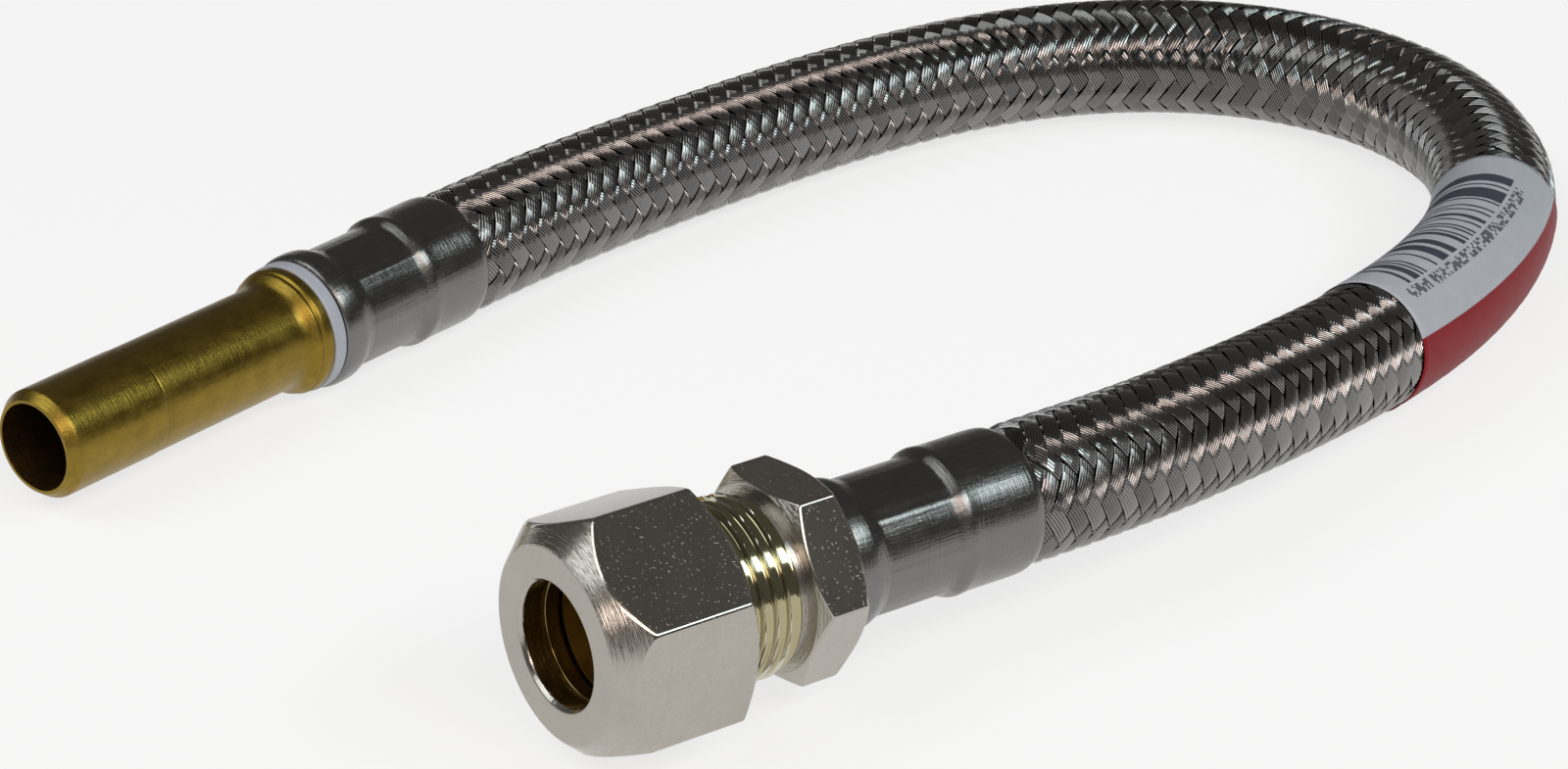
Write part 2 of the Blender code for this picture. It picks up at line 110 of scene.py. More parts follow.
# Weave: places along a ribbon count its crossings with the ribbons that run the other way
CROSSINGS = 232
CROSSINGS_BEFORE = 1.38
GRID_STEPS = 3.0
JUST_OVER = 0.01
ROW_SPREAD = 0.38
WEAVE_TURN_DEG = 1.5
WEAVE_START = 0.46
FIRST_PITCH = 2.65 * MM
ADDED_PITCH = 0.6 * MM
WIDENS_FROM = 6.4
WIDENS_OVER = 6.4
DIVE_STEEPNESS = 6.0
RIBBON_CROWN = 0.35 * MM
TUCKED_IN = 0.8 * MM
MOUTH_FROM = -0.5 * MM
MOUTH_TO = 2.6 * MM
MOUTH_PINCH = 0.55 * MM
MOUTH_WAVE = 0.3
ON_GRID = 0.1
NEAR_DIVE = 0.4

# Label: angles go up round the hose from its side, and places along it are in millimetres
LABEL_COLUMNS = 144
LABEL_SEAM_DEG = -78
LABEL_TURNS = 1.06
FILM_RADIUS = 9.08
FILM_LIFT = 0.16
FILM_CREASE = 0.03
CREASE_ALONG = 1.9
CREASE_ROUND = 12
CREASE_FADE = 0.7
FILM_THICKNESS = 0.12 * MM
BARS_PER_MM = 1.9
BARS_DARK_ABOVE = 0.47
BARS_DEG = (70.0, 178.0)
BARS_ALONG = (5.0, 47.0)
MARKS_PER_MM = 2.2
MARK_DEG = 2.9
MARKS_DARK_ABOVE = 0.45
MARKS_MIDDLE_DEG = 61.0
MARKS_HALF_DEG = 5.8
MARKS_MIDDLE = 24.0
MARKS_HALF = 21.0
MARKS_INK = 0.85
STRIPE_DEG = (285.0, 22.5)
STRIPE_EDGE_DEG = 0.8

# Kinds of surface that a turned piece's faces are tagged with
PLAIN = 0
TURNED = 1
INSIDE = 2
THREAD = 3
FACED = 4

# Colours that only part of a piece has
# The thread's two colours are painted light: the darker valley colour is painted shade, and the paler crest
# colour is a painted highlight
THREAD_VALLEY_SHADE_COLOR = (0.42, 0.38, 0.23)
THREAD_CREST_HIGHLIGHT_COLOR = (0.64, 0.61, 0.52)
NUT_BORE_COLOR = (0.46, 0.35, 0.14)
STUB_BORE_COLOR = (0.30, 0.19, 0.07)
LINER_COLOR = (0.03, 0.03, 0.03)

# Sizes of the fittings, in millimetres from each fitting's open end and from its axis
NUT_CORNER_DEG = 23.4
NUT_ACROSS_FLATS = 28.0
NUT_CORNER = 16.166
NUT_EDGE = 0.7
NUT_LENGTH = 19.2
NUT_FRONT_RING = 12.2
NUT_FRONT_CONE = 4.55
NUT_REAR_RING = 13.7
NUT_REAR_CONE = 1.6
NUT_BORE = 7.7
NUT_THREAD_BORE = 11.75
OLIVE_SPACE = 9.7
OLIVE_FRONT = 6.085
OLIVE_REAR = 13.185
OLIVE_EDGE = 7.85
OLIVE_RADIUS = 9.35
PIPE_BORE = 7.6
BODY_CORNER_DEG = 1.85
BODY_ACROSS_FLATS = 24.0
BODY_CORNER = 13.856
BODY_EDGE = 0.5
BODY_START = 12.985
BODY_RING = 11.75
BODY_CONE = 1.1
BODY_RELIEF = 10.45
BODY_HEX_START = 28.785
BODY_HEX_END = 35.985
SOCKET_END = 27.985
THREAD_PITCH = 1.814
THREAD_LEAD = 1.0
THREAD_LENGTH = 13.6
THREAD_ROOT = 10.72
THREAD_HEIGHT = 0.72
THREAD_RIDGE = 0.11
THREAD_POINTS = 20
CREST_FROM = 10.8
CREST_TO = 11.25
NEAR_FERRULE_START = 36.285
FAR_FERRULE_START = 48.9
FERRULE_LENGTH = 29.2
FERRULE_WALL = 8.85
JAWS = 8
JAW_DEG = 360.0 / JAWS
JAW_RIDGE = 0.10
JAW_RIDGE_DEG = 4.0
WAIST_RADIUS = 8.75
SKIRT_RADIUS = 9.42
SKIRT_SHARE = 0.25
BODY_NECK = 2.0
STUB_NECK = 4.0
NECK_RADIUS = 5.895
NECK_BORE_RADIUS = 6.195
WATERWAY_RADIUS = 4.245
BARBS = 4
BARB_PITCH = 5.6
BARB_RISE = 0.56
BARB_SLOPE = 3.92
BARB_RADIUS = 5.495
BARB_ROOT = BARB_RADIUS - 0.6
STUB_RADIUS = 7.5
STUB_BORE = 6.0
STUB_SHOULDER = 46.6
STUB_BORE_END = 42.6
RING_START = 46.7
RING_END = 48.8
RING_RADIUS = 9.1

# How finely round pieces are made, how sections are eased, and where smooth shading stops
CORE_SIDES = 48
ROUND_SIDES = 144
FERRULE_SIDES = 192
EASE_STEPS = 4
EASE_LIMIT = 0.4
EASE_SUPPORT = 1.2
FITTING_CREASE_DEG = 38
TUBE_CREASE_DEG = 60


def box_middle(node):
    low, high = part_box(node)
    return (Vector(low) + Vector(high)) / 2


def coupling_place():
    """The coupling's own frame: its X axis runs from the nut's front face into the hose."""
    middle = box_middle("compression_olive")
    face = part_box("compression_nut")[0][0]
    return Matrix.Translation((face, middle.y, middle.z))


def stub_place():
    """The stub's own frame: its X axis runs from the pipe's open end into the hose."""
    end = next(item for item in frame["record"]["mounts"] if item["name"] == "stub_end")
    along = -Vector(end["axis"])
    height = box_middle("spacer_ring").z
    turn = Matrix.Rotation(math.atan2(along.y, along.x), 4, "Z")
    return Matrix.Translation((end["pos_m"][0], end["pos_m"][1], height)) @ turn


def length_property(name, description, default):
    return FloatProperty(name=name, description=description, default=default, unit="LENGTH")


def color_property(name, description, default):
    return FloatVectorProperty(
        name=name, description=description, default=default, subtype="COLOR", min=0.0, max=1.0,
    )


class BraidSizes(PropertyGroup):
    """Sizes and colours of the woven sleeve."""

    radius: length_property("Radius", "Middle radius of the two crossing layers", 8.58 * MM)
    lift: length_property("Lift", "How far a ribbon rises over the one that it crosses", 0.07 * MM)
    arch: length_property("Arch", "How far a ribbon bows out and in between two dives", 0.24 * MM)
    wire_depth: length_property("Wire depth", "How far a wire stands over the valleys beside it", 0.1 * MM)
    ribbons: IntProperty(
        name="Ribbons", description="Ribbons that run each way, a multiple of four", default=12, min=4,
    )
    wires: IntProperty(name="Wires", description="Wires side by side in one ribbon", default=6, min=3)
    falling_width: FloatProperty(
        name="Falling width", description="Share of its room that a falling ribbon fills", default=0.96,
    )
    rising_width: FloatProperty(
        name="Rising width", description="Share of its room that a rising ribbon fills", default=0.90,
    )
    wire_color: color_property("Wire", "Colour of the stainless wire", (0.23, 0.225, 0.22))
    core_color: color_property("Core", "Colour of what shows between the ribbons", (0.03, 0.029, 0.028))


class LabelSizes(PropertyGroup):
    """Place and colours of the wrapped label."""

    start: length_property("Start", "Distance of the label from the coupling's ferrule", 76.0 * MM)
    length: length_property("Length", "Length of the label along the hose", 54.5 * MM)
    film_color: color_property("Film", "Colour of the bare film", (0.46, 0.485, 0.53))
    bar_color: color_property("Bars", "Colour of the printed bars", (0.055, 0.062, 0.085))
    stripe_color: color_property("Stripe", "Colour of the long stripe", (0.24, 0.006, 0.011))


class FittingColors(PropertyGroup):
    """Colours of the fittings at the two ends."""

    nickel: color_property("Nickel", "Colour of the plated coupling", (0.44, 0.41, 0.365))
    brass: color_property("Brass", "Colour of the bare turned brass", (0.62, 0.49, 0.21))
    dull_brass: color_property("Dull brass", "Colour of the stub pipe", (0.29, 0.195, 0.033))
    steel: color_property("Steel", "Colour of the crimped ferrules", (0.20, 0.195, 0.188))
    plastic: color_property("Plastic", "Colour of the ring at the stub pipe's shoulder", (0.46, 0.48, 0.54))


class StageSizes(PropertyGroup):
    """The floor and the light on it."""

    floor_color: color_property("Floor", "Colour of the floor", (0.93, 0.93, 0.93))
    floor_glow: FloatProperty(
        name="Floor glow", description="Share of plain white in the floor that the camera and metal see",
        default=0.75, min=0.0, max=1.0,
    )
    sky_strength: FloatProperty(
        name="Sky", description="Strength of the plain, slightly warm world", default=0.115, min=0.0,
    )


class HoseSettings(PropertyGroup):
    """All that the panel shows."""

    braid: PointerProperty(type=BraidSizes)
    label: PointerProperty(type=LabelSizes)
    fittings: PointerProperty(type=FittingColors)
    stage: PointerProperty(type=StageSizes)


class Value:
    """An output of a node, with Python's arithmetic; vectors go through Vector Math."""

    def __init__(self, tree, output):
        self.tree = tree
        self.output = output

    def __getitem__(self, name):
        return Value(self.tree, self.output.node.outputs[name])

    def combine(self, operation, first, second):
        vector = any(isinstance(item, Value) and item.output.type == "VECTOR" for item in (first, second))
        kind = "ShaderNodeVectorMath" if vector else "ShaderNodeMath"
        if vector:
            first, second = (as_vector(item) for item in (first, second))
        return self.tree.add(kind, {"operation": operation}, {0: first, 1: second})

    def __add__(self, other):
        return self.combine("ADD", self, other)

    def __radd__(self, other):
        return self.combine("ADD", other, self)

    def __sub__(self, other):
        return self.combine("SUBTRACT", self, other)

    def __rsub__(self, other):
        return self.combine("SUBTRACT", other, self)

    def __mul__(self, other):
        return self.combine("MULTIPLY", self, other)

    def __rmul__(self, other):
        return self.combine("MULTIPLY", other, self)

    def __truediv__(self, other):
        return self.combine("DIVIDE", self, other)

    def __rtruediv__(self, other):
        return self.combine("DIVIDE", other, self)

    def __abs__(self):
        return self.tree.math("ABSOLUTE", self)

    def __gt__(self, other):
        return self.combine("GREATER_THAN", self, other)

    def __lt__(self, other):
        return self.combine("LESS_THAN", self, other)


def as_vector(item):
    return (item, item, item) if isinstance(item, (int, float)) else item


def shown(sockets, name):
    """The socket of that name that the node's settings leave in use."""
    return next(socket for socket in sockets if socket.enabled and socket.name == name)


class Tree:
    """Adds nodes to a shader tree or a geometry tree."""

    def __init__(self, tree):
        self.tree = tree

    def add(self, kind, settings=None, sockets=None):
        """A new node with its settings, then the values or links of its sockets; gives its first output."""
        node = self.tree.nodes.new(kind)
        for name, value in (settings or {}).items():
            setattr(node, name, value)
        for key, value in (sockets or {}).items():
            socket = node.inputs[key] if isinstance(key, int) else shown(node.inputs, key)
            if isinstance(value, Value):
                self.tree.links.new(value.output, socket)
            else:
                socket.default_value = value
        outputs = [output for output in node.outputs if output.enabled]
        return Value(self, outputs[0]) if outputs else node

    def math(self, operation, *values):
        return self.add("ShaderNodeMath", {"operation": operation}, dict(enumerate(values)))

    def vector_math(self, operation, *values):
        return self.add("ShaderNodeVectorMath", {"operation": operation}, dict(enumerate(values)))

    def clamp(self, value, low, high):
        return self.math("MINIMUM", self.math("MAXIMUM", value, low), high)

    def smooth(self, value, low, high):
        """0 below low and 1 above high, with a smooth rise between them."""
        return self.add(
            "ShaderNodeMapRange", {"interpolation_type": "SMOOTHSTEP"},
            {"Value": value, "From Min": low, "From Max": high, "To Min": 0.0, "To Max": 1.0},
        )

    def xyz(self, x, y, z):
        return self.add("ShaderNodeCombineXYZ", {}, {0: x, 1: y, 2: z})

    def parts(self, vector):
        split = self.add("ShaderNodeSeparateXYZ", {}, {0: vector})
        return split["X"], split["Y"], split["Z"]


class Paint(Tree):
    """A material's shader tree, round its Principled BSDF."""

    def __init__(self, name):
        self.material = bpy.data.materials.new(name)
        self.material.use_nodes = True
        super().__init__(self.material.node_tree)
        self.shader = self.tree.nodes["Principled BSDF"]

    def number(self, name):
        return self.add("ShaderNodeAttribute", {"attribute_name": name})["Fac"]

    def vector(self, name):
        return self.add("ShaderNodeAttribute", {"attribute_name": name})["Vector"]

    def tagged(self, kind):
        """1 on the faces of one kind of surface, and 0 elsewhere."""
        return abs(self.number("tag") - kind) < 0.5

    def from_axis(self, spot):
        """Distance of a place on a fitting from the fitting's axis, in millimetres."""
        _, y, z = self.parts(spot)
        return self.math("SQRT", y * y + z * z)

    def dice(self, number):
        return self.add("ShaderNodeTexWhiteNoise", {"noise_dimensions": "1D"}, {"W": number})

    def noise(self, vector, scale, detail, roughness):
        return self.add(
            "ShaderNodeTexNoise", {},
            {"Vector": vector, "Scale": scale, "Detail": detail, "Roughness": roughness},
        )

    def mix(self, share, first, second):
        """A colour between two colours."""
        first, second = (item if isinstance(item, Value) else (*item, 1.0) for item in (first, second))
        return self.add("ShaderNodeMix", {"data_type": "RGBA"}, {"Factor": share, "A": first, "B": second})

    def tinted(self, color, factor):
        """A colour made lighter or darker by a varying number."""
        return self.add(
            "ShaderNodeVectorMath", {"operation": "SCALE"}, {0: color, "Scale": factor},
        )

    def bump(self, height, strength, distance):
        return self.add(
            "ShaderNodeBump", {}, {"Height": height, "Strength": strength, "Distance": distance},
        )

    def finish(self, **sockets):
        """Sets the shader's sockets, named with underscores for spaces."""
        for name, value in sockets.items():
            socket = self.shader.inputs[name.replace("_", " ")]
            if isinstance(value, Value):
                self.tree.links.new(value.output, socket)
            elif isinstance(value, (int, float)):
                socket.default_value = value
            else:
                socket.default_value = (*value, 1.0)
        return self.material


def smooth_line(points, start_direction, end_direction):
    """A cubic spline through the points that leaves and arrives along the given directions."""
    points = np.array(points)
    chord = np.linalg.norm(np.diff(points, axis=0), axis=1)
    knots = np.concatenate([[0.0], np.cumsum(chord)])
    count = len(points)
    system = np.zeros((count, count))
    wanted = np.zeros((count, 3))
    system[0, 0] = 1.0
    system[-1, -1] = 1.0
    wanted[0] = start_direction
    wanted[-1] = end_direction
    for index in range(1, count - 1):
        before = chord[index - 1]
        after = chord[index]
        system[index, index - 1:index + 2] = (1 / before, 2 / before + 2 / after, 1 / after)
        rise_before = (points[index] - points[index - 1]) / before ** 2
        rise_after = (points[index + 1] - points[index]) / after ** 2
        wanted[index] = 3 * (rise_before + rise_after)
    slopes = np.linalg.solve(system, wanted)

    def at(distance):
        index = min(int(np.searchsorted(knots, distance, side="right")) - 1, count - 2)
        span = chord[index]
        share = (distance - knots[index]) / span
        one = (1 + 2 * share) * (1 - share) ** 2 * points[index]
        two = share * (1 - share) ** 2 * span * slopes[index]
        three = share ** 2 * (3 - 2 * share) * points[index + 1]
        four = share ** 2 * (share - 1) * span * slopes[index + 1]
        return one + two + three + four

    return at, knots[-1]


def hose_line():
    """Even points along the middle of the hose, from one ferrule's mouth to the other's."""
    coupling = coupling_place()
    stub = stub_place()
    near = coupling @ Vector(((NEAR_FERRULE_START + FERRULE_LENGTH) * MM, 0.0, 0.0))
    far = stub @ Vector(((FAR_FERRULE_START + FERRULE_LENGTH) * MM, 0.0, 0.0))
    chosen = [np.array(point) * MM for point in ROUTE]
    into_hose = np.array(coupling.col[0][:3])
    out_of_hose = -np.array(stub.col[0][:3])
    at, length = smooth_line([np.array(near)] + chosen + [np.array(far)], into_hose, out_of_hose)
    count = round(length / LINE_STEP) + 1
    return np.array([at(distance) for distance in np.linspace(0.0, length, count)])


def line_length(line):
    return float(np.linalg.norm(np.diff(line, axis=0), axis=1).sum())


def extended(line, reach):
    """The line with a straight lead added at both ends."""
    before = line[0] + (line[0] - line[1]) / np.linalg.norm(line[0] - line[1]) * reach
    after = line[-1] + (line[-1] - line[-2]) / np.linalg.norm(line[-1] - line[-2]) * reach
    return np.vstack([before, line, after])


def rings_on(line):
    """For each point of the line: its distance along it, and its sideways and upward directions."""
    tangent = np.gradient(line, axis=0)
    tangent /= np.linalg.norm(tangent, axis=1)[:, None]
    side = np.cross(tangent, np.array(UP))
    side /= np.linalg.norm(side, axis=1)[:, None]
    upward = np.cross(side, tangent)
    steps = np.linalg.norm(np.diff(line, axis=0), axis=1)
    return np.concatenate([[0.0], np.cumsum(steps)]), side, upward


def link(name, mesh, finish):
    piece = bpy.data.objects.new(name, mesh)
    bpy.context.collection.objects.link(piece)
    mesh.materials.clear()
    mesh.materials.append(finish)
    return piece


def turn_outwards(mesh):
    shape = bmesh.new()
    shape.from_mesh(mesh)
    bmesh.ops.recalc_face_normals(shape, faces=shape.faces)
    shape.to_mesh(mesh)
    shape.free()


def add_numbers(mesh, name, kind, domain, values):
    layer = mesh.attributes.new(name, kind, domain)
    layer.data.foreach_set("vector" if kind == "FLOAT_VECTOR" else "value", np.ravel(values))


def settled(name, host, tree, values, finish):
    """Runs a geometry tree on a host mesh, and keeps the result as a plain mesh at the origin."""
    maker = bpy.data.objects.new(name + "_maker", host)
    bpy.context.collection.objects.link(maker)
    modifier = maker.modifiers.new("shape", "NODES")
    modifier.node_group = tree
    for item in tree.interface.items_tree:
        if item.in_out == "INPUT" and item.name in values:
            modifier[item.identifier] = values[item.name]
    graph = bpy.context.evaluated_depsgraph_get()
    mesh = bpy.data.meshes.new_from_object(
        maker.evaluated_get(graph), preserve_all_data_layers=True, depsgraph=graph,
    )
    mesh.name = name
    maker.modifiers.remove(modifier)
    bpy.data.objects.remove(maker, do_unlink=True)
    return link(name, mesh, finish)


def braid_group():
    """An empty geometry tree with the named inputs of the braid."""
    group = bpy.data.node_groups.new("Braid Ribbons", "GeometryNodeTree")
    face = group.interface
    face.new_socket(name="Geometry", in_out="INPUT", socket_type="NodeSocketGeometry")
    for kind, names in (
        ("Int", ("Ribbons", "First", "Step", "Wires", "Crossings")),
        ("Float", ("Direction", "Slot Angle", "Radius", "Lift", "Arch", "Wire Depth", "Width")),
        ("Float", ("Lead In", "Length")),
        ("Material", ("Material",)),
    ):
        for name in names:
            face.new_socket(name=name, in_out="INPUT", socket_type="NodeSocket" + kind)
    face.new_socket(name="Geometry", in_out="OUTPUT", socket_type="NodeSocketGeometry")
    return group


def with_number(t, geometry, name, value):
    """The geometry with a number stored on its points."""
    return t.add("GeometryNodeStoreNamedAttribute", {"data_type": "FLOAT", "domain": "POINT"}, {
        "Geometry": geometry, "Name": name, "Value": value,
    })


def flat_ribbons(t, given, rows, columns):
    """One flat grid for each ribbon, which carries the ribbon's number."""
    grid = t.add("GeometryNodeMeshGrid", {}, {
        "Size X": rows, "Size Y": columns, "Vertices X": rows + 1.0, "Vertices Y": columns + 1.0,
    })
    starts = t.add("GeometryNodePoints", {}, {"Count": given["Ribbons"]})
    number = t.add("GeometryNodeInputIndex") * given["Step"] + given["First"]
    numbered = with_number(t, starts, "ribbon", number)
    copies = t.add("GeometryNodeInstanceOnPoints", {}, {"Points": numbered, "Instance": grid})
    return t.add("GeometryNodeRealizeInstances", {}, {"Geometry": copies})


def place_on_route(t, given, along, turn, radius):
    """The place at a distance along the route, an angle round it and a distance from it."""
    route = t.add("GeometryNodeMeshToCurve", {}, {"Mesh": given["Geometry"]})
    sampled = t.add("GeometryNodeSampleCurve", {"mode": "LENGTH"}, {
        "Curves": route, "Length": along + given["Lead In"],
    })
    tangent = sampled["Tangent"]
    side = t.vector_math("NORMALIZE", t.vector_math("CROSS_PRODUCT", tangent, tuple(UP)))
    upward = t.vector_math("CROSS_PRODUCT", side, tangent)
    outward = side * t.xyz(*[t.math("COSINE", turn)] * 3) + upward * t.xyz(*[t.math("SINE", turn)] * 3)
    return sampled["Position"] + outward * t.xyz(radius, radius, radius)


def braid_tree():
    """Ribbons of wires wound one way round a route, each over two and under two of the others."""
    group = braid_group()
    t = Tree(group)
    given = t.add("NodeGroupInput")
    direction = given["Direction"]
    columns = given["Wires"] * GRID_STEPS
    rows = given["Crossings"] * GRID_STEPS
    sheets = flat_ribbons(t, given, rows, columns)

    row, column, _ = t.parts(t.add("GeometryNodeInputPosition"))
    row = row + rows * 0.5
    column = column + columns * 0.5
    ribbon = t.add("GeometryNodeInputNamedAttribute", {"data_type": "FLOAT"}, {"Name": "ribbon"})
    crossing = t.math("FLOOR", row / GRID_STEPS + JUST_OVER)
    in_crossing = row - crossing * GRID_STEPS
    wire = t.math("FLOOR", column / GRID_STEPS + JUST_OVER)
    third = column - wire * GRID_STEPS
    # A wire's slope, crest and slope take a quarter, a half and a quarter of its width
    in_wire = third * 0.25 + t.math("MAXIMUM", third - 1.0, 0.0) * 0.25
    crest = t.math("MINIMUM", third, 1.0)
    share = (wire + in_wire) / given["Wires"] - 0.5

    own = ribbon + share * given["Width"]
    other = ribbon - direction * (crossing + in_crossing * ROW_SPREAD - CROSSINGS_BEFORE)
    turn = (own + other) * given["Slot Angle"] + math.radians(WEAVE_TURN_DEG)
    phase = direction * (own - other) * 0.5 - WEAVE_START
    widening = t.clamp(phase - WIDENS_FROM, 0.0, WIDENS_OVER)
    wide = t.math("MAXIMUM", phase - (WIDENS_FROM + WIDENS_OVER), 0.0)
    opened = widening * widening / (2 * WIDENS_OVER) + wide
    along = phase * FIRST_PITCH + opened * ADDED_PITCH
    along = t.clamp(along, -TUCKED_IN, given["Length"] + TUCKED_IN)

    # Over two and under two, so the wave comes back after four crossings
    wave = t.math("COSINE", (ribbon + other + 0.5) * (math.pi / 2))
    over = direction * t.clamp(wave * DIVE_STEEPNESS, -1.0, 1.0)
    # An edge reads the mean of its two ends, which tells the edges of one row or column from the others
    across_edge = (abs(row - t.math("ROUND", row)) < ON_GRID) * (abs(wave) < NEAR_DIVE)
    valley_edge = (abs(column - t.math("ROUND", column)) < ON_GRID) * (third < ON_GRID)
    sheets = t.add("GeometryNodeSetShadeSmooth", {"domain": "EDGE"}, {
        "Geometry": sheets, "Selection": t.math("MAXIMUM", across_edge, valley_edge), "Shade Smooth": False,
    })
    from_mouths = [t.smooth(reach, MOUTH_FROM, MOUTH_TO) for reach in (along, given["Length"] - along)]
    free = from_mouths[0] * from_mouths[1]
    radius = given["Radius"] - (1.0 - free) * MOUTH_PINCH + share * share * -RIBBON_CROWN
    bow = direction * wave * given["Arch"]
    weave = (over * given["Lift"] + bow) * (MOUTH_WAVE + free * (1.0 - MOUTH_WAVE))
    radius = radius + weave + crest * given["Wire Depth"]

    sheets = t.add("GeometryNodeSetPosition", {}, {
        "Geometry": sheets, "Position": place_on_route(t, given, along, turn, radius),
    })
    strand = ribbon * (given["Wires"] + 1.0) + wire
    # over goes on to the wire paint, which darkens the diving parts of the ribbons with it as painted shade
    for name, value in (("strand", strand), ("over", over), ("along", along / MM)):
        sheets = with_number(t, sheets, name, value)
    sheets = t.add("GeometryNodeSetMaterial", {}, {"Geometry": sheets, "Material": given["Material"]})
    t.add("NodeGroupOutput", {}, {"Geometry": sheets})
    return group


def tube(name, line, radius, sides, finish):
    """A closed tube along the line."""
    _, side, upward = rings_on(line)
    angle = np.linspace(0.0, 2 * math.pi, sides, endpoint=False)
    sideways = side[:, None, :] * np.cos(angle)[None, :, None]
    spread = sideways + upward[:, None, :] * np.sin(angle)[None, :, None]
    points = (line[:, None, :] + spread * radius).reshape(-1, 3)
    rows = len(line)
    faces = []
    for row in range(rows - 1):
        for column in range(sides):
            after = (column + 1) % sides
            faces.append((
                row * sides + column, row * sides + after,
                (row + 1) * sides + after, (row + 1) * sides + column,
            ))
    faces.append(tuple(range(sides)))
    faces.append(tuple((rows - 1) * sides + column for column in range(sides)))
    mesh = bpy.data.meshes.new(name)
    mesh.from_pydata(points, [], faces)
    turn_outwards(mesh)
    mesh.shade_smooth()
    mesh.set_sharp_from_angle(angle=math.radians(TUBE_CREASE_DEG))
    return link(name, mesh, finish)


def hexagon(across, rounding):
    """Distance from the axis to a hexagon with rounded corners; angle 0 is a corner."""
    corner = (across / 2 - rounding) / math.cos(math.pi / 6)
    edge = math.atan2(rounding * 0.5, corner + rounding * math.cos(math.pi / 6))

    def radius(angle):
        past = abs((angle + math.pi / 6) % (math.pi / 3) - math.pi / 6)
        if past < edge:
            return corner * math.cos(past) + math.sqrt(rounding ** 2 - (corner * math.sin(past)) ** 2)
        return across / 2 / math.cos(math.pi / 6 - past)

    return radius


def hexagon_angles():
    """Angles round a hexagon, close together at its corners."""
    offsets = (0.0, 0.5, 1.0, 1.5, 2.0, 2.6, 3.4, 4.6, 6.5, 9.0, 12.5, 17.0, 22.0, 27.0)
    one = sorted({-offset for offset in offsets} | set(offsets))
    return [math.radians(60 * corner + offset) for corner in range(6) for offset in one]


def even_angles(count):
    return [2 * math.pi * index / count for index in range(count)]


def rounded(corners):
    """A closed section from corners (x, radius, rounding, tag), each corner eased over its rounding."""
    points = []
    count = len(corners)
    for index, (x, radius, ease, tag) in enumerate(corners):
        if ease == 0.0:
            points.append((x, radius, tag))
            continue
        here = np.array((x, radius))
        before = np.array(corners[index - 1][:2])
        after = np.array(corners[(index + 1) % count][:2])
        first = before - here
        last = after - here
        first *= min(ease / np.linalg.norm(first), EASE_LIMIT)
        last *= min(ease / np.linalg.norm(last), EASE_LIMIT)
        points.append((*(here + first * EASE_SUPPORT), corners[index - 1][3]))
        for step in range(EASE_STEPS + 1):
            share = step / EASE_STEPS
            point = here + first * (1 - share) ** 2 + last * share ** 2
            points.append((*point, tag))
        points.append((*(here + last * EASE_SUPPORT), tag))
    return points


def turned(name, section, angles, place, finish, turn_deg=0.0):
    """A closed wall round the fitting's X axis; section(angle) gives its points x, radius and tag."""
    turn = math.radians(turn_deg)
    loops = [section(angle) for angle in angles]
    size = len(loops[0])
    local = []
    for angle, loop in zip(angles, loops):
        sine = math.sin(angle + turn)
        cosine = math.cos(angle + turn)
        local += [(x, -radius * cosine, radius * sine) for x, radius, _ in loop]
    faces = []
    tags = []
    for column in range(len(angles)):
        after = (column + 1) % len(angles)
        for index in range(size):
            ahead = (index + 1) % size
            faces.append((
                column * size + index, after * size + index, after * size + ahead, column * size + ahead,
            ))
            tags.append(loops[column][index][2])
    mesh = bpy.data.meshes.new(name)
    mesh.from_pydata([place @ (Vector(point) * MM) for point in local], [], faces)
    add_numbers(mesh, "spot", "FLOAT_VECTOR", "POINT", local)
    add_numbers(mesh, "tag", "FLOAT", "FACE", tags)
    turn_outwards(mesh)
    mesh.shade_smooth()
    mesh.set_sharp_from_angle(angle=math.radians(FITTING_CREASE_DEG))
    return link(name, mesh, finish)


def nut_section(angle):
    """Flats between two turned cones, a faced front ring, and the stepped bore with a shallow groove."""
    flat = hexagon(NUT_ACROSS_FLATS, NUT_EDGE)(angle)
    front = NUT_FRONT_CONE / (NUT_CORNER - NUT_FRONT_RING) * (flat - NUT_FRONT_RING)
    rear = NUT_REAR_CONE / (NUT_CORNER - NUT_REAR_RING) * max(flat - NUT_REAR_RING, 0.0)
    return rounded([
        (0.5, NUT_BORE, 0.15, TURNED), (0.0, 8.2, 0.15, FACED), (0.0, NUT_FRONT_RING, 0.3, TURNED),
        (front, flat, 0.5, PLAIN), (NUT_LENGTH - rear, flat, 0.35, TURNED),
        (NUT_LENGTH, NUT_REAR_RING, 0.15, TURNED), (NUT_LENGTH, 12.35, 0.1, INSIDE),
        (18.6, NUT_THREAD_BORE, 0.0, INSIDE), (10.01, NUT_THREAD_BORE, 0.0, INSIDE),
        (9.6, OLIVE_SPACE, 0.0, INSIDE), (7.6, OLIVE_SPACE, 0.0, INSIDE), (5.4, NUT_BORE, 0.0, INSIDE),
        (3.65, NUT_BORE, 0.05, INSIDE), (3.5, 8.0, 0.0, INSIDE), (3.25, 8.0, 0.0, INSIDE),
        (3.1, NUT_BORE, 0.05, INSIDE),
    ])


def olive_section(_angle):
    return rounded([
        (OLIVE_FRONT, PIPE_BORE, 0.0, TURNED), (OLIVE_FRONT, OLIVE_EDGE, 0.1, TURNED),
        (7.735, OLIVE_RADIUS, 0.3, TURNED), (11.285, OLIVE_RADIUS, 0.3, TURNED),
        (OLIVE_REAR, OLIVE_EDGE, 0.1, TURNED), (OLIVE_REAR, PIPE_BORE, 0.0, TURNED),
    ])


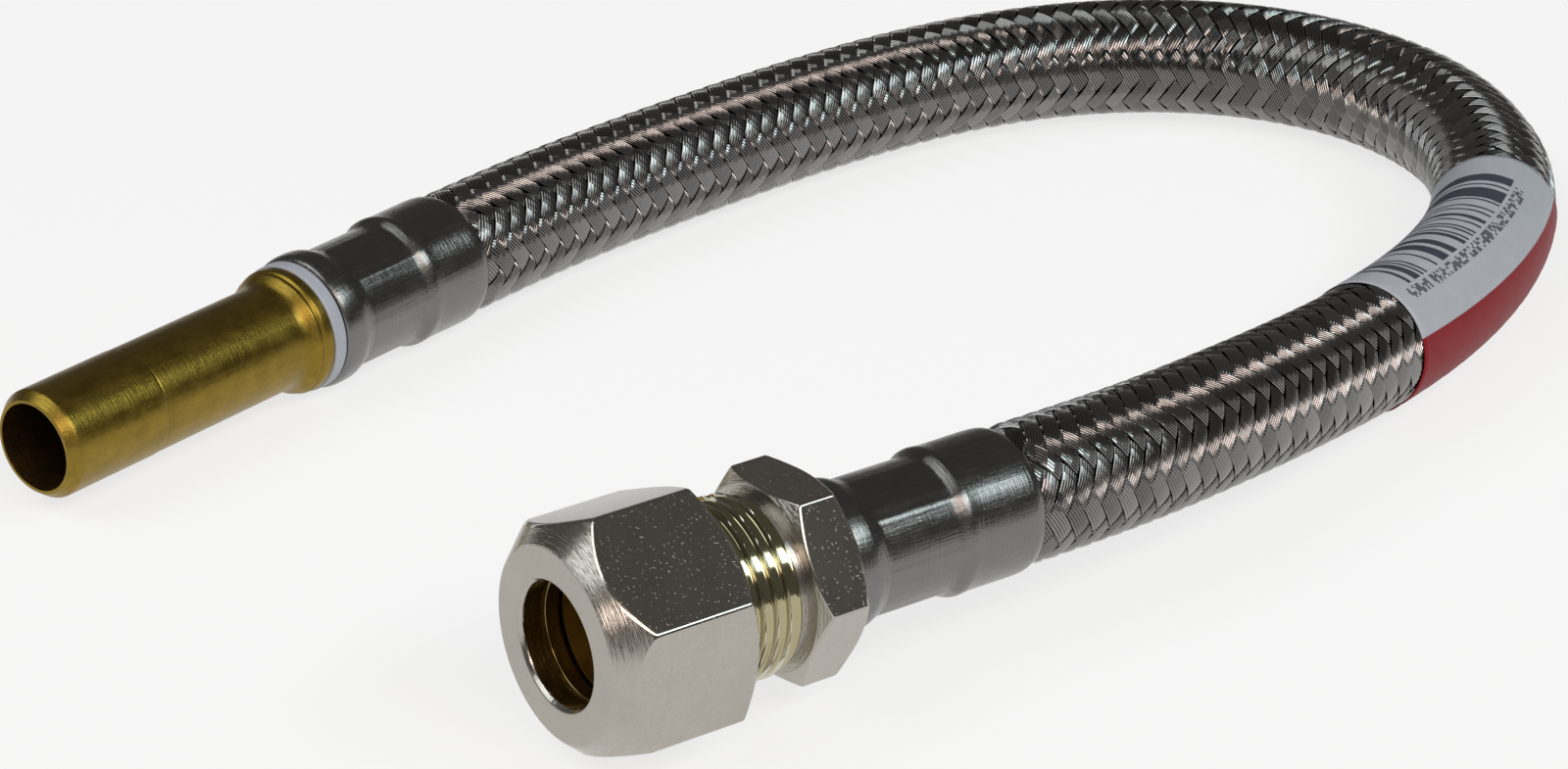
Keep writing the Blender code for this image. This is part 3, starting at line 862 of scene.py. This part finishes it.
def thread_points(angle):
    """The rounded ridges of the body's thread along one side of it."""
    start = BODY_START + THREAD_LEAD
    step = THREAD_PITCH / THREAD_POINTS
    count = int(THREAD_LENGTH / step)
    points = []
    for index in range(count):
        x = start + index * step
        share = min(1.0, 0.4 + index / THREAD_POINTS, (count - index) / THREAD_POINTS)
        turn = x / THREAD_PITCH - angle / (2 * math.pi)
        from_crest = abs(turn - round(turn))
        ridge = math.exp(-(from_crest / THREAD_RIDGE) ** 2)
        points.append((x, THREAD_ROOT + THREAD_HEIGHT * share * ridge, THREAD))
    return points


def tail_corners(start, neck_length):
    """The neck under a ferrule, the barbs in the hose and the end of the waterway."""
    first = start + neck_length
    corners = [(start, NECK_RADIUS), (first, NECK_RADIUS), (first, BARB_ROOT)]
    for index in range(BARBS):
        barb = first + (index + 0.25) * BARB_PITCH
        corners += [(barb, BARB_ROOT), (barb + BARB_RISE, BARB_RADIUS), (barb + BARB_SLOPE, BARB_ROOT)]
    end = first + BARBS * BARB_PITCH
    corners += [(end, BARB_ROOT), (end, WATERWAY_RADIUS)]
    return [(x, radius, 0.1 if radius == BARB_RADIUS else 0.0, INSIDE) for x, radius in corners]


def body_section(angle):
    """The pipe's socket, the thread, a hexagon between two cones, and the tail in the hose."""
    flat = hexagon(BODY_ACROSS_FLATS, BODY_EDGE)(angle)
    slope = BODY_CONE / (BODY_CORNER - BODY_RING) * (flat - BODY_RING)
    front = rounded([
        (15.985, PIPE_BORE, 0.0, INSIDE), (BODY_START, 9.6, 0.1, TURNED),
        (BODY_START, BODY_RELIEF, 0.1, THREAD),
    ])
    rear = rounded([
        (27.585, BODY_RELIEF, 0.0, TURNED), (BODY_HEX_START, BODY_RELIEF, 0.0, TURNED),
        (BODY_HEX_START, BODY_RING, 0.1, TURNED), (BODY_HEX_START + slope, flat, 0.3, PLAIN),
        (BODY_HEX_END - slope, flat, 0.3, TURNED), (BODY_HEX_END, BODY_RING, 0.1, TURNED),
        *tail_corners(BODY_HEX_END, BODY_NECK),
        (SOCKET_END, WATERWAY_RADIUS, 0.0, INSIDE), (SOCKET_END, PIPE_BORE, 0.0, INSIDE),
    ])
    return front + thread_points(angle) + rear


def ferrule_section(start):
    """The rolled lip, the crimped waist and the wider skirt of one ferrule, and its plain inside."""

    def section(angle):
        jaw = (angle * JAWS / (2 * math.pi)) % 1.0
        from_ridge = min(jaw, 1.0 - jaw) * JAW_DEG
        ridge = JAW_RIDGE * math.exp(-(from_ridge / JAW_RIDGE_DEG) ** 2)
        flat = -JAW_RIDGE * math.sin(math.pi * jaw) ** 2
        waist = WAIST_RADIUS + ridge + flat
        skirt = SKIRT_RADIUS + SKIRT_SHARE * ridge + SKIRT_SHARE * flat
        corners = [
            (0.0, NECK_BORE_RADIUS, 0.0), (0.0, 9.2, 0.5), (0.9, 9.6, 1.0), (3.3, 9.6, 1.2),
            (4.7, 9.05, 0.6), (5.5, waist - 0.03, 0.5), (6.6, waist, 0.5), (16.3, waist, 0.35),
            (17.7, skirt + 0.14, 0.55), (19.4, skirt - 0.05, 0.9), (26.4, skirt, 1.0),
            (27.8, 9.33, 0.6), (28.9, 8.85, 0.5), (FERRULE_LENGTH, 8.375, 0.3),
            (26.4, 8.7, 0.0), (19.2, 8.7, 0.0), (16.0, 8.0, 0.0), (6.9, 8.0, 0.0),
            (4.45, FERRULE_WALL, 0.0), (0.75, FERRULE_WALL, 0.0), (0.75, NECK_BORE_RADIUS, 0.0),
        ]
        return rounded([(start + x, radius, ease, PLAIN) for x, radius, ease in corners])

    return section


def stub_section(_angle):
    """The drawn pipe with its shoulder, and the tail in the hose."""
    return rounded([
        (0.0, STUB_BORE, 0.05, TURNED), (0.0, 6.45, 0.12, TURNED), (1.4, STUB_RADIUS, 0.3, PLAIN),
        (16.7, STUB_RADIUS, 0.15, PLAIN), (16.95, 7.36, 0.1, PLAIN), (17.3, 7.42, 0.1, PLAIN),
        (43.1, 7.42, 0.7, PLAIN), (44.5, 8.62, 0.25, TURNED), (44.9, 8.5, 0.15, TURNED),
        (45.3, 8.9, 0.25, TURNED), (STUB_SHOULDER, 8.9, 0.15, TURNED),
        *tail_corners(STUB_SHOULDER, STUB_NECK),
        (STUB_BORE_END, WATERWAY_RADIUS, 0.0, INSIDE), (STUB_BORE_END, STUB_BORE, 0.0, INSIDE),
    ])


def ring_section(_angle):
    return rounded([
        (RING_START, NECK_BORE_RADIUS, 0.0, PLAIN), (RING_START, RING_RADIUS, 0.3, PLAIN),
        (RING_END, RING_RADIUS, 0.3, PLAIN), (RING_END, NECK_BORE_RADIUS, 0.0, PLAIN),
    ])


def turned_lines(paint, spot, fine=2.6):
    """Fine rings left by the turning tool, broken up a little round the axis."""
    x, y, z = paint.parts(spot)
    radius = paint.from_axis(spot)
    place = paint.xyz((x + radius) * fine, y / radius * 2.5, z / radius * 2.5)
    return paint.noise(place, scale=1.0, detail=3.0, roughness=0.65)


def nickel_paint(name, color):
    """Dull nickel plate: turned rings on the cones, grain on the front face, small dents on the flats, and
    a thread painted darker in its valleys as painted shade and paler on its crests as a painted highlight.
    """
    paint = Paint(name)
    spot = paint.vector("spot")
    on_flat, is_turned, inside, on_thread, faced = (
        paint.tagged(kind) for kind in (PLAIN, TURNED, INSIDE, THREAD, FACED)
    )
    rings = turned_lines(paint, spot)
    stained = paint.noise(spot, scale=0.16, detail=4.0, roughness=0.6)
    grain = paint.noise(spot, scale=5.0, detail=3.0, roughness=0.6)
    dents = paint.smooth(paint.noise(spot, scale=2.8, detail=0.0, roughness=0.4), 0.74, 0.79)
    peel = paint.noise(spot, scale=1.4, detail=2.0, roughness=0.5)
    plate = paint.tinted(color, 0.76 + stained * 0.2 + grain * 0.16 + peel * 0.12)
    # Painted shade and highlight on the thread: darker in the valleys and paler on the crests, by distance
    # from the axis
    crest = paint.smooth(paint.from_axis(spot), CREST_FROM, CREST_TO)
    plate_and_painted_thread = paint.mix(on_thread, plate, paint.mix(crest, THREAD_VALLEY_SHADE_COLOR, THREAD_CREST_HIGHLIGHT_COLOR))
    rough = 0.08 + stained * 0.05 + (is_turned + inside) * rings * 0.24
    rough = rough + on_flat * grain * 0.05 + faced * 0.22
    height = rings * (is_turned * 1.3 + inside * 0.6)
    height = height + (grain * 0.012 - dents * 0.25) * on_flat + grain * faced * 0.3
    return paint.finish(
        Base_Color=paint.mix(inside, plate_and_painted_thread, NUT_BORE_COLOR), Metallic=1.0,
        Roughness=paint.clamp(rough, 0.08, 0.6), Normal=paint.bump(height, 0.8, 0.14 * MM),
    )


def brass_paint(name, color):
    """Turned brass with fine rings and a slightly uneven tone."""
    paint = Paint(name)
    spot = paint.vector("spot")
    rings = turned_lines(paint, spot)
    cloud = paint.noise(spot, scale=0.22, detail=5.0, roughness=0.62)
    return paint.finish(
        Base_Color=paint.tinted(color, 0.7 + cloud * 0.55), Metallic=1.0,
        Roughness=paint.clamp(0.2 + cloud * 0.25 + (rings - 0.5) * 0.1, 0.1, 0.7),
        Normal=paint.bump(rings, 0.25, 0.02 * MM),
    )


def stained_brass_paint(name, color):
    """Drawn brass gone dull: cloudy stains and faint streaks along the pipe."""
    paint = Paint(name)
    spot = paint.vector("spot")
    x, y, z = paint.parts(spot)
    cloud = paint.noise(spot, scale=0.35, detail=5.0, roughness=0.65)
    speck = paint.noise(spot, scale=2.6, detail=3.0, roughness=0.6)
    streak = paint.noise(paint.xyz(x * 0.1, y * 1.3, z * 1.3), scale=1.0, detail=3.0, roughness=0.6)
    shade = 0.38 + cloud * 0.7 + streak * 0.4 + speck * 0.2
    plain = paint.mix(cloud, tuple(channel * 0.8 for channel in color), color)
    return paint.finish(
        Base_Color=paint.tinted(paint.mix(paint.tagged(INSIDE), plain, STUB_BORE_COLOR), shade),
        Metallic=1.0,
        Roughness=paint.clamp(0.16 + cloud * 0.2 + speck * 0.12 + streak * 0.06, 0.15, 0.7),
        Normal=paint.bump(turned_lines(paint, spot, 3.0) + streak * 0.4 + speck * 0.4, 0.8, 0.07 * MM),
    )


def steel_paint(name, color):
    """Bright crimped steel with streaks along the ferrule."""
    paint = Paint(name)
    spot = paint.vector("spot")
    x, y, z = paint.parts(spot)
    streak = paint.noise(paint.xyz(x * 0.14, y * 3.2, z * 3.2), scale=1.0, detail=4.0, roughness=0.65)
    cloud = paint.noise(spot, scale=0.3, detail=3.0, roughness=0.55)
    return paint.finish(
        Base_Color=paint.tinted(color, 0.72 + cloud * 0.2 + streak * 0.36), Metallic=1.0,
        Roughness=paint.clamp(0.02 + streak * 0.28 + cloud * 0.12, 0.1, 0.6),
        Normal=paint.bump(turned_lines(paint, spot, 4.0) + streak * 0.4, 1.0, 0.07 * MM),
    )


def wire_paint(name, color):
    """Stainless wire: each strand a little lighter or darker than the next, and painted darker where it
    dives under the crossing ribbons, as painted shade.
    """
    paint = Paint(name)
    strand = paint.number("strand")
    over = paint.number("over")
    along = paint.number("along")
    tone = paint.dice(strand)
    drift = paint.noise(paint.xyz(strand * 3.7, along * 0.35, 0.0), scale=1.0, detail=2.0, roughness=0.5)
    kinks = paint.noise(paint.xyz(strand * 7.7, along * 2.2, 0.0), scale=1.0, detail=2.0, roughness=0.5)
    # over lowers the colour where the ribbon dives under the others: painted shade between the ribbons
    shade = 0.62 + tone * 0.25 + drift * 0.3 + over * 0.15
    return paint.finish(
        Base_Color=paint.tinted(color, shade), Metallic=1.0,
        Roughness=paint.clamp(0.08 + tone * 0.08 + drift * 0.08, 0.08, 0.6),
        Normal=paint.bump(kinks, 0.3, 0.03 * MM),
    )


def dark_paint(name, color):
    """A dark, dull finish with a soft mottle, for rubber and for what shows between the ribbons."""
    paint = Paint(name)
    place = paint.add("ShaderNodeTexCoord")["Object"]
    mottle = paint.noise(place, scale=900.0, detail=3.0, roughness=0.6)
    return paint.finish(
        Base_Color=paint.tinted(color, 0.6 + mottle * 0.8), Metallic=0.0,
        Roughness=paint.clamp(0.6 + mottle * 0.2, 0.3, 0.95),
        Normal=paint.bump(mottle, 0.3, 0.05 * MM),
    )


def plastic_paint(name, color):
    """White moulded plastic, slightly scuffed."""
    paint = Paint(name)
    cloud = paint.noise(paint.vector("spot"), scale=0.5, detail=4.0, roughness=0.6)
    return paint.finish(
        Base_Color=paint.tinted(color, 0.86 + cloud * 0.2), Metallic=0.0,
        Roughness=paint.clamp(0.32 + cloud * 0.2, 0.2, 0.7), Normal=paint.bump(cloud, 0.2, 0.05 * MM),
    )


def label_paint(name, sizes):
    """Printed film: dark bars that run round the hose and a long stripe on its lower side."""
    paint = Paint(name)
    along = paint.number("label_along")
    angle = paint.number("label_angle")
    module = paint.dice(paint.math("FLOOR", along * BARS_PER_MM))
    in_bars = (angle > BARS_DEG[0]) * (angle < BARS_DEG[1])
    in_bars = in_bars * (along > BARS_ALONG[0]) * (along < BARS_ALONG[1])
    bar = (module > BARS_DARK_ABOVE) * in_bars
    cell = paint.xyz(paint.math("FLOOR", along * MARKS_PER_MM), paint.math("FLOOR", angle / MARK_DEG), 0.0)
    speck = paint.add("ShaderNodeTexWhiteNoise", {"noise_dimensions": "2D"}, {"Vector": cell})
    in_marks = (abs(angle - MARKS_MIDDLE_DEG) < MARKS_HALF_DEG) * (abs(along - MARKS_MIDDLE) < MARKS_HALF)
    mark = (speck > MARKS_DARK_ABOVE) * in_marks * MARKS_INK
    inked = paint.mix(paint.math("MAXIMUM", bar, mark), tuple(sizes.film_color), tuple(sizes.bar_color))
    below, above = STRIPE_DEG
    edge = paint.smooth(above - angle, -STRIPE_EDGE_DEG, STRIPE_EDGE_DEG)
    stripe = paint.math("MAXIMUM", edge, (angle > below))
    place = paint.xyz(along * 0.3, angle * 0.1, 0.0)
    stained = paint.noise(place, scale=1.0, detail=4.0, roughness=0.6)
    printed = paint.mix(stripe, inked, tuple(sizes.stripe_color))
    return paint.finish(
        Base_Color=paint.tinted(printed, 0.88 + stained * 0.22), Metallic=0.0,
        Roughness=paint.clamp(0.42 + stained * 0.2, 0.2, 0.8), Specular_IOR_Level=0.25,
    )


def add_ribbons(name, route, length, direction, first, finish, sizes):
    """Every other ribbon of those that run one way; direction is 1 for falling and -1 for rising."""
    host = bpy.data.meshes.new(name + "_route")
    edges = [(index, index + 1) for index in range(len(route) - 1)]
    host.from_pydata(route, edges, [])
    values = {
        "Ribbons": sizes.ribbons // 2, "First": first, "Step": 2, "Wires": sizes.wires,
        "Crossings": CROSSINGS, "Direction": direction, "Slot Angle": math.pi / sizes.ribbons,
        "Radius": sizes.radius, "Lift": sizes.lift, "Arch": sizes.arch, "Wire Depth": sizes.wire_depth,
        "Width": sizes.falling_width if direction > 0 else sizes.rising_width,
        "Lead In": UNDER_FERRULE, "Length": length, "Material": finish,
    }
    piece = settled(name, host, braid_tree(), values, finish)
    if direction < 0:
        piece.data.flip_normals()
    return piece


class HOSE_OT_braid(Operator):
    """Makes the woven sleeve and what shows between its ribbons"""

    bl_idname = "hose.make_braid"
    bl_label = "Braid"

    def execute(self, context):
        sizes = context.scene.hose_settings.braid
        line = hose_line()
        length = line_length(line)
        route = extended(line, UNDER_FERRULE)
        wire = wire_paint("braid wire", tuple(sizes.wire_color))
        dark = dark_paint("braid core", tuple(sizes.core_color))
        ribbons = [
            add_ribbons("braid_ribbons_%s_%d" % (way, first + 1), route, length, sign, first, wire, sizes)
            for way, sign in (("falling", 1.0), ("rising", -1.0)) for first in (0, 1)
        ]
        core = tube("braid_core", line, CORE_RADIUS, CORE_SIDES, dark)
        for piece in ribbons + [core]:
            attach(piece, "root")
        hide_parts("steel_braid")
        label = bpy.data.objects.get("label_film")
        if label is None:
            raise RuntimeError("the label is made before the braid")
        tuple(line[0])
        liner = bpy.data.objects["rubber_liner"]
        liner.data.materials.clear()
        liner.data.materials.append(dark_paint("liner rubber", LINER_COLOR))
        return {"FINISHED"}


def label_mesh(sizes):
    """A sheet wrapped a little more than once round the hose, with faint creases."""
    line = hose_line()
    distance, _, _ = rings_on(line)
    part = line[(distance >= sizes.start) & (distance <= sizes.start + sizes.length)]
    along, side, upward = rings_on(part)
    seam = math.radians(LABEL_SEAM_DEG)
    turn = np.linspace(seam, seam + 2 * math.pi * LABEL_TURNS, LABEL_COLUMNS)
    shape = bmesh.new()
    rings = []
    for row, middle in enumerate(part):
        place = along[row] / MM
        ring = []
        for column, angle in enumerate(turn):
            share = column / (LABEL_COLUMNS - 1)
            crease = math.sin(place * CREASE_ALONG + angle * CREASE_ROUND) * math.sin(place * CREASE_FADE)
            reach = (FILM_RADIUS + FILM_LIFT * share + FILM_CREASE * crease) * MM
            outward = side[row] * math.cos(angle) + upward[row] * math.sin(angle)
            ring.append(shape.verts.new(middle + outward * reach))
        rings.append(ring)
    for ring, after in zip(rings, rings[1:]):
        for column in range(LABEL_COLUMNS - 1):
            shape.faces.new((ring[column], ring[column + 1], after[column + 1], after[column]))
    mesh = bpy.data.meshes.new("label_film")
    shape.to_mesh(mesh)
    shape.free()
    add_numbers(mesh, "label_along", "FLOAT", "POINT", np.repeat(along / MM, LABEL_COLUMNS))
    add_numbers(mesh, "label_angle", "FLOAT", "POINT", np.tile(np.degrees(turn), len(part)))
    mesh.shade_smooth()
    return mesh


class HOSE_OT_label(Operator):
    """Makes the printed label round the hose"""

    bl_idname = "hose.make_label"
    bl_label = "Label"

    def execute(self, context):
        sizes = context.scene.hose_settings.label
        piece = link("label_film", label_mesh(sizes), label_paint("label film", sizes))
        wall = piece.modifiers.new("wall", "SOLIDIFY")
        wall.thickness = FILM_THICKNESS
        wall.offset = 1.0
        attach(piece, "root")
        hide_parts("label")
        return {"FINISHED"}


def place_fitting(piece, node, body):
    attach(piece, body)
    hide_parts(node)


class HOSE_OT_coupling(Operator):
    """Makes the nut, the olive and the threaded body"""

    bl_idname = "hose.make_coupling"
    bl_label = "Coupling"

    def execute(self, context):
        colors = context.scene.hose_settings.fittings
        place = coupling_place()
        corners = hexagon_angles()
        nickel = nickel_paint("nickel plate", tuple(colors.nickel))
        brass = brass_paint("turned brass", tuple(colors.brass))
        nut = turned("nut_turned", nut_section, corners, place, nickel, NUT_CORNER_DEG)
        olive = turned("olive_turned", olive_section, even_angles(ROUND_SIDES), place, brass)
        body = turned("body_turned", body_section, corners, place, nickel, BODY_CORNER_DEG)
        place_fitting(nut, "compression_nut", "nut")
        place_fitting(olive, "compression_olive", "olive")
        place_fitting(body, "coupling_body", "root")
        return {"FINISHED"}


class HOSE_OT_ferrules(Operator):
    """Makes the two crimped ferrules"""

    bl_idname = "hose.make_ferrules"
    bl_label = "Ferrules"

    def execute(self, context):
        colors = context.scene.hose_settings.fittings
        steel = steel_paint("ferrule steel", tuple(colors.steel))
        for name, node, start, place in (
            ("ferrule_near", "near_ferrule", NEAR_FERRULE_START, coupling_place()),
            ("ferrule_far", "far_ferrule", FAR_FERRULE_START, stub_place()),
        ):
            piece = turned(name, ferrule_section(start), even_angles(FERRULE_SIDES), place, steel)
            place_fitting(piece, node, "root")
        return {"FINISHED"}


class HOSE_OT_stub(Operator):
    """Makes the stub pipe and the ring at its shoulder"""

    bl_idname = "hose.make_stub"
    bl_label = "Stub pipe"

    def execute(self, context):
        colors = context.scene.hose_settings.fittings
        place = stub_place()
        dull = stained_brass_paint("stub brass", tuple(colors.dull_brass))
        plastic = plastic_paint("ring plastic", tuple(colors.plastic))
        pipe = turned("pipe_drawn", stub_section, even_angles(ROUND_SIDES), place, dull)
        ring = turned("ring_moulded", ring_section, even_angles(ROUND_SIDES), place, plastic)
        place_fitting(pipe, "stub_pipe", "root")
        place_fitting(ring, "spacer_ring", "root")
        return {"FINISHED"}


def add_lamp(name, azimuth, elevation, size, power, color):
    """A soft lamp aimed at the object."""
    data = bpy.data.lights.new(name, "AREA")
    data.shape = "RECTANGLE"
    data.size, data.size_y = size
    data.energy = power
    data.color = color
    lamp = bpy.data.objects.new(name, data)
    bpy.context.collection.objects.link(lamp)
    around = math.radians(azimuth)
    rise = math.radians(elevation)
    toward = Vector((math.sin(around) * math.cos(rise), math.cos(around) * math.cos(rise), math.sin(rise)))
    lamp.location = LAMP_TARGET + toward * LAMP_DISTANCE
    lamp.rotation_euler = (-toward).to_track_quat("-Z", "Y").to_euler()


def add_camera():
    data = bpy.data.cameras.new("camera")
    data.lens = CAMERA_LENS
    data.sensor_width = SENSOR_WIDTH
    data.clip_start = NEAREST_SEEN
    camera = bpy.data.objects.new("camera", data)
    bpy.context.collection.objects.link(camera)
    view = CAMERA_VIEW.normalized()
    right = view.cross(UP).normalized()
    down = view.cross(right).normalized()
    roll = math.radians(CAMERA_ROLL_DEG)
    right = right * math.cos(roll) + down * math.sin(roll)
    upward = right.cross(view)
    turn = Matrix((right, upward, -view)).transposed()
    camera.matrix_world = Matrix.Translation(CAMERA_PLACE) @ turn.to_4x4()
    bpy.context.scene.camera = camera


def floor_paint(sizes):
    """Pale floor that keeps its shadows and glows white for the camera, metal and glass."""
    paint = Paint("floor")
    paint.finish(Base_Color=tuple(sizes.floor_color), Roughness=0.9)
    ray = paint.add("ShaderNodeLightPath")
    shiny = paint.math("MAXIMUM", ray["Is Glossy Ray"], ray["Is Transmission Ray"])
    seen = paint.math("MAXIMUM", ray["Is Camera Ray"], shiny) * sizes.floor_glow
    glow = paint.add("ShaderNodeEmission", {}, {"Color": (1.0, 1.0, 1.0, 1.0), "Strength": 1.0})
    lit = Value(paint, paint.shader.outputs[0])
    both = paint.add("ShaderNodeMixShader", {}, {0: seen, 1: lit, 2: glow})
    paint.tree.links.new(both.output, paint.tree.nodes["Material Output"].inputs["Surface"])
    return paint.material


def add_floor(sizes):
    corners = [(-1, -1), (1, -1), (1, 1), (-1, 1)]
    mesh = bpy.data.meshes.new("floor")
    mesh.from_pydata([(x * FLOOR_REACH, y * FLOOR_REACH, 0.0) for x, y in corners], [], [(0, 1, 2, 3)])
    link("floor", mesh, floor_paint(sizes))


def add_world(strength):
    world = bpy.data.worlds.new("plain world")
    world.use_nodes = True
    sky = world.node_tree.nodes["Background"]
    sky.inputs["Color"].default_value = SKY_COLOR
    sky.inputs["Strength"].default_value = strength
    bpy.context.scene.world = world


class HOSE_OT_stage(Operator):
    """Makes the camera, the floor and the light"""

    bl_idname = "hose.make_stage"
    bl_label = "Stage"

    def execute(self, context):
        sizes = context.scene.hose_settings.stage
        add_camera()
        add_floor(sizes)
        add_world(sizes.sky_strength)
        for lamp in LAMPS:
            add_lamp(*lamp)
        context.scene.view_settings.view_transform = "Standard"
        return {"FINISHED"}


class HOSE_PT_pieces(Panel):
    """The hose's pieces and their sizes and colours"""

    bl_label = "Braided hose"
    bl_idname = "HOSE_PT_pieces"
    bl_space_type = "VIEW_3D"
    bl_region_type = "UI"
    bl_category = "Hose"

    def draw(self, context):
        settings = context.scene.hose_settings
        for group in (settings.braid, settings.label, settings.fittings, settings.stage):
            box = self.layout.box()
            for name in group.bl_rna.properties.keys():
                if name not in ("rna_type", "name"):
                    box.prop(group, name)
        for operator in OPERATORS:
            self.layout.operator(operator.bl_idname)


OPERATORS = (HOSE_OT_stage, HOSE_OT_label, HOSE_OT_braid, HOSE_OT_coupling, HOSE_OT_ferrules, HOSE_OT_stub)
CLASSES = (BraidSizes, LabelSizes, FittingColors, StageSizes, HoseSettings, *OPERATORS, HOSE_PT_pieces)


def register():
    for item in CLASSES:
        bpy.utils.register_class(item)
    bpy.types.Scene.hose_settings = PointerProperty(type=HoseSettings)


def unregister():
    del bpy.types.Scene.hose_settings
    for item in reversed(CLASSES):
        bpy.utils.unregister_class(item)


def main():
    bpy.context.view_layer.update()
    register()
    bpy.ops.hose.make_stage()
    bpy.ops.hose.make_label()
    bpy.ops.hose.make_braid()
    bpy.ops.hose.make_coupling()
    bpy.ops.hose.make_ferrules()
    bpy.ops.hose.make_stub()


if __name__ == "__main__":
    main()
